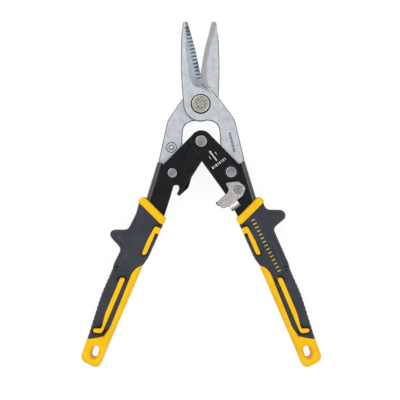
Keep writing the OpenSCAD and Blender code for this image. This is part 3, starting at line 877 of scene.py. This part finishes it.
# The round nut's face, in millimetres: in from its rim and out from its bore, with depths
NUT_OUTER = ((0, 0.35), (0.12, 0.12), (0.35, 0), (0.8, 0), (1.0, 0.12), (1.15, 0.4), (1.5, 0.42),
             (1.7, 0.25))
NUT_INNER = ((0.35, 0.2), (0.1, 0.45), (0, 0.7))
NUT_BORE = 2.8 * MM
NUT_FACE = 1.05 * MM  # in from the rim


def make_bolt():
    axis = centre_of("pivot_nut")
    low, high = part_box("pivot_nut")
    outer = (high.x - low.x) / 2
    profile = [(NUT_BORE, low.z), (outer, low.z)]
    profile += [(outer - reach * MM, high.z - depth * MM) for reach, depth in NUT_OUTER]
    profile += [(NUT_BORE + reach * MM, high.z - depth * MM) for reach, depth in NUT_INNER]
    nut = turned("round_nut", axis, profile, 96, closed=True, smooth_angle=40)
    faces_to(nut, 1, lambda c, n: away(c, axis) < outer - NUT_FACE)
    dress(nut, "front_jaw", "fastener_steel", [MAT["bolt"], MAT["bolt_face"]], "pivot_nut")
    bolt = eased("pivot_bolt", "pivot_bolt_turned", 0.25 * MM)
    dress(bolt, "front_jaw", "fastener_steel", [MAT["bolt_face"], MAT["bolt"]], "pivot_bolt")
    ring_piece("pivot_lock_washer_ring", "pivot_lock_washer", "front_jaw", "washer_steel",
               MAT["washer"])


# ---------------------------------------------------------------- handles
BEND = 0.985  # a channel's faces with a smaller normal Z than this are its bends and walls


def make_handles():
    for side in ("left", "right"):
        node = side + "_handle_frame"
        # its rounded edges take material 1: worn paint and painted highlight
        channel = eased(node, side + "_handle_channel", 0.3 * MM)
        # the bends and walls take painted sheen
        faces_to(channel, 2, lambda c, n: abs(n.z) < BEND)
        finishes = [MAT["black"], MAT["black_edge"], MAT["black_bend_painted_sheen"]]
        dress(channel, side + "_handle", "black_steel", finishes, node)
    pin("handle_pivot_rivet", "handle_pivot_pin", RIGHT)
    pin("left_jaw_rivet", "left_jaw_pin", LEFT)
    pin("right_jaw_rivet", "right_jaw_pin", RIGHT)
    pin("latch_pivot_rivet", "latch_rivet", RIGHT)
    ring_piece("handle_pivot_bush", "handle_pivot_bushing", RIGHT, "bushing_brass", MAT["brass"])
    ring_piece("handle_pivot_shims", "handle_pivot_washers", RIGHT, "washer_steel",
               MAT["washer"])
    ring_piece("left_arm_sleeve", "left_arm_spacer", LEFT, "washer_steel", MAT["washer"])
    ring_piece("right_arm_sleeves", "right_arm_spacers", RIGHT, "washer_steel", MAT["washer"])
    # its rim takes painted highlight
    ring_piece("right_jaw_collar_ring", "right_jaw_pin_ring", RIGHT, "ring_plastic", MAT["ring"],
               0.3 * MM, MAT["ring_rim"])
    ring_piece("latch_wave_ring", "latch_wave_washer", RIGHT, "washer_steel", MAT["washer"])


LATCH_H, LATCH_T = 3.6 * MM, 1.4 * MM  # the whole latch, and its plate
# A rib over the edge of the thumb tab: three sections, each with four corners
RIB_PATH = ((2.5, 2.46), (3.9, 3.6), (4.3, 3.0))  # mm along the tab and above the plate's back
RIB_FACES = ((2, 3, 7, 6), (6, 7, 11, 10), (0, 2, 6, 4), (4, 6, 10, 8), (1, 5, 7, 3),
             (5, 9, 11, 7), (0, 1, 3, 2), (8, 10, 11, 9), (0, 4, 5, 1), (4, 8, 9, 5))
RIBS, RIB_GAP, RIB_HALF = 5, 1.42, 0.4  # a number, and two lengths in mm


def make_latch():
    """The latch and its details. Places on it are offsets in millimetres from its rivet."""
    latch = eased("latch", "latch_lever", 0.28 * MM)
    # its rounded edges take painted shade
    dress(latch, "latch", "latch_steel", [MAT["latch"], MAT["dark_edge"]], "latch")
    rivet = centre_of("latch_rivet")
    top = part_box("latch")[1].z
    base = top - LATCH_H
    plate = base + LATCH_T

    # A thin dark ring round the rivet: painted shade in the gap there.
    inner, outer, low, high = 2.45 * MM, 3.0 * MM, plate - 0.02 * MM, plate + 0.03 * MM
    seat = turned("latch_rivet_gap_shade", rivet,
                  [(inner, low), (outer, low), (outer, high), (inner, high)], 48, closed=True)
    dress(seat, "latch", "latch_steel", [MAT["stamp"]])

    # A bright line where the latch folds: a painted highlight.
    fold = bar(rivet.to_2d() + Vector((-2.4, -3.6)) * MM, Vector((0.55, -0.83)), 6.2 * MM,
               0.45 * MM)
    printed("latch_fold_painted_highlight", [fold], plate + 0.03 * MM, "latch", "latch_steel", MAT["edge"])

    tab = rivet.to_2d() + Vector((-3.5, -9.65)) * MM
    out, side = Vector((0.588, -0.809)), Vector((0.809, 0.588))
    points, faces = [], []
    for k in range(RIBS):
        faces += [[len(points) + corner for corner in face] for face in RIB_FACES]
        for reach, height in RIB_PATH:
            for lift in (-0.05, 0.12):
                for w in (-RIB_HALF, RIB_HALF):
                    across = w + (k - (RIBS - 1) / 2) * RIB_GAP
                    place = tab + (out * (reach + lift * 0.6) + side * across) * MM
                    points.append((place.x, place.y, base + (height + lift) * MM))
    ribs = object_from("latch_thumb_ribs", points, faces, 30)
    dress(ribs, "latch", "latch_steel", [MAT["stamp"]])


def make_spring():
    spring = eased("return_spring", "return_spring_wire", 0.01 * MM)
    spring.modifiers.clear()
    shade(spring.data, 80)
    dress(spring, None, "spring_steel", [MAT["spring"]], "return_spring")
    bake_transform(spring)


# ---------------------------------------------------------------- printed and stamped marks
def printed(name, outlines, z, body, slot, material):
    """Flat marks a few hundredths of a millimetre thick. An outline is a list of (x, y)."""
    points, faces = [], []
    for outline in outlines:
        start, count = len(points), len(outline)
        for level in (z - 0.03 * MM, z + 0.04 * MM):
            points += [(x, y, level) for x, y in outline]
        faces.append([start + count + i for i in range(count)])
        faces.append([start + i for i in reversed(range(count))])
        faces += [[start + i, start + (i + 1) % count,
                   start + count + (i + 1) % count, start + count + i] for i in range(count)]
    dress(object_from(name, points, faces, 30), body, slot, [material])


def bar(at, along, length, width):
    """The corners of a bar, centred on at, that runs along a direction."""
    u = along.normalized() * length / 2
    v = Vector((-along.y, along.x)).normalized() * width / 2
    return [tuple(at + q) for q in (-u - v, u - v, u + v, -u + v)]


def row_of_bars(start, end, widths, height):
    """Bars of the given widths, spread evenly from start to end and standing across the row."""
    along = (end - start).normalized()
    gap = ((end - start).length - sum(widths)) / (len(widths) - 1)
    bars, walked = [], 0.0
    for width in widths:
        bars.append(bar(start + along * (walked + width / 2), along, width, height))
        walked += width + gap
    return bars


def make_marks():
    """Plain marks where the real tool has print. Their places are offsets in millimetres."""
    pin_at = centre_of("right_jaw_pin").to_2d()
    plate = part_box("right_handle_frame")[1].z
    way, side = Vector((-0.61, 0.79)), Vector((0.79, 0.61))
    tail, head = pin_at + Vector((-9.9, 8.0)) * MM, pin_at + Vector((-15.3, 15.0)) * MM
    point = 1.6 * MM  # length of the arrow that its head covers
    barbs = [head - way * 2 * MM + side * reach * MM for reach in (-0.95, 0.95)]
    marks = [
        bar((tail + head - way * point) / 2, way, (head - tail).length - point, 0.8 * MM),
        [tuple(q) for q in (head, *barbs)],
    ]
    for offset in (-2.6, 2.6):
        marks.append(bar((tail + head) / 2 + side * offset * MM, way, 2.4 * MM, 0.35 * MM))
    marks += row_of_bars(pin_at + Vector((-13, 2.7)) * MM, pin_at + Vector((-4, 9.4)) * MM,
                         [w * MM for w in (0.8, 0.4) * 4], 1.7 * MM)
    printed("plate_arrow_and_ticks", marks, plate, RIGHT, "black_steel", MAT["print"])

    bars = row_of_bars(pin_at + Vector((15.2, -33.2)) * MM, pin_at + Vector((33.6, -69.0)) * MM,
                       [0.6 * MM] * 15, 2.5 * MM)
    printed("right_grip_bars", bars, GRIP_HIGH.z - COVER_DROP, RIGHT, "grip_core",
            MAT["print_yellow"])

    bolt = centre_of("pivot_bolt").to_2d()
    arm = row_of_bars(bolt + Vector((20.3, -20.3)) * MM, bolt + Vector((23.6, -33.8)) * MM,
                      [w * MM for w in (1.1, 0.7) * 5], 1.7 * MM)
    printed("arm_ticks", arm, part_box("front_jaw")[1].z, "front_jaw", "forged_steel", MAT["stamp"])


# ---------------------------------------------------------------- studio
# Brightness of the sky by the sine of the height above the horizon
SKY = ((0.0, 0.12), (0.25, 0.4), (0.5, 0.95), (0.68, 1.45), (0.84, 0.9), (0.97, 0.64))
SKY_TINT = (0.97, 0.985, 1)
FLOOR_HALF, FLOOR_Z = 3, -0.0006
# Name, place, size and power in watts; each lamp points at the origin
LAMPS = (("key", (-0.6, 0.55, 0.8), 0.5, 2.6), ("fill", (0.7, -0.1, 0.7), 0.7, 1.4))
CAMERA_AT = (-0.00085, -0.0043, 0.948)  # looking straight down
LENS_MM, SENSOR_MM = 120, 36


def make_sky():
    world = bpy.data.worlds.new("studio")
    scene.world = world
    world.use_nodes = True
    tree = world.node_tree
    background = tree.nodes["Background"]
    background.inputs["Strength"].default_value = 1.0
    direction = tree.nodes.new("ShaderNodeTexCoord").outputs["Generated"]
    split = tree.nodes.new("ShaderNodeSeparateXYZ")
    tree.links.new(direction, split.inputs["Vector"])
    sky = tree.nodes.new("ShaderNodeValToRGB")
    fill_ramp(sky, [(sine, [level * tint for tint in SKY_TINT]) for sine, level in SKY])
    tree.links.new(split.outputs["Z"], sky.inputs["Fac"])
    tree.links.new(sky.outputs["Color"], background.inputs["Color"])


def make_floor():
    """A pale floor that glows a little, so that it stays white under the tool."""
    corners = [(x * FLOOR_HALF, y * FLOOR_HALF, FLOOR_Z)
               for x, y in ((-1, -1), (1, -1), (1, 1), (-1, 1))]
    floor = object_from("floor", corners, [[0, 1, 2, 3]])
    shader = Shader("pale_floor", 0.9, Emission_Color=(1, 1, 1, 1), Emission_Strength=0.9,
                    Specular_IOR_Level=0.1)
    grain = shader.noise(0.05, 2)
    shader.colour(shader.ramp(grain, (0.3, (0.12, 0.12, 0.12)), (0.7, (0.14, 0.14, 0.14))))
    floor.data.materials.append(shader.material)


def make_lamps_and_camera():
    for name, place, size, power in LAMPS:
        light = bpy.data.lights.new(name, "AREA")
        light.size = size
        light.energy = power
        lamp = new_object(name, light)
        lamp.location = place
        lamp.rotation_euler = (-Vector(place)).to_track_quat("-Z", "Y").to_euler()

    lens = bpy.data.cameras.new("camera")
    lens.lens = LENS_MM
    lens.sensor_width = SENSOR_MM
    camera = new_object("camera", lens)
    camera.location = CAMERA_AT
    scene.camera = camera
    scene.view_settings.view_transform = "Standard"


MAT = make_materials()
make_jaws()
make_bolt()
make_handles()
make_latch()
make_spring()
make_grip("left")
make_grip("right")
make_marks()
make_sky()
make_floor()
make_lamps_and_camera()
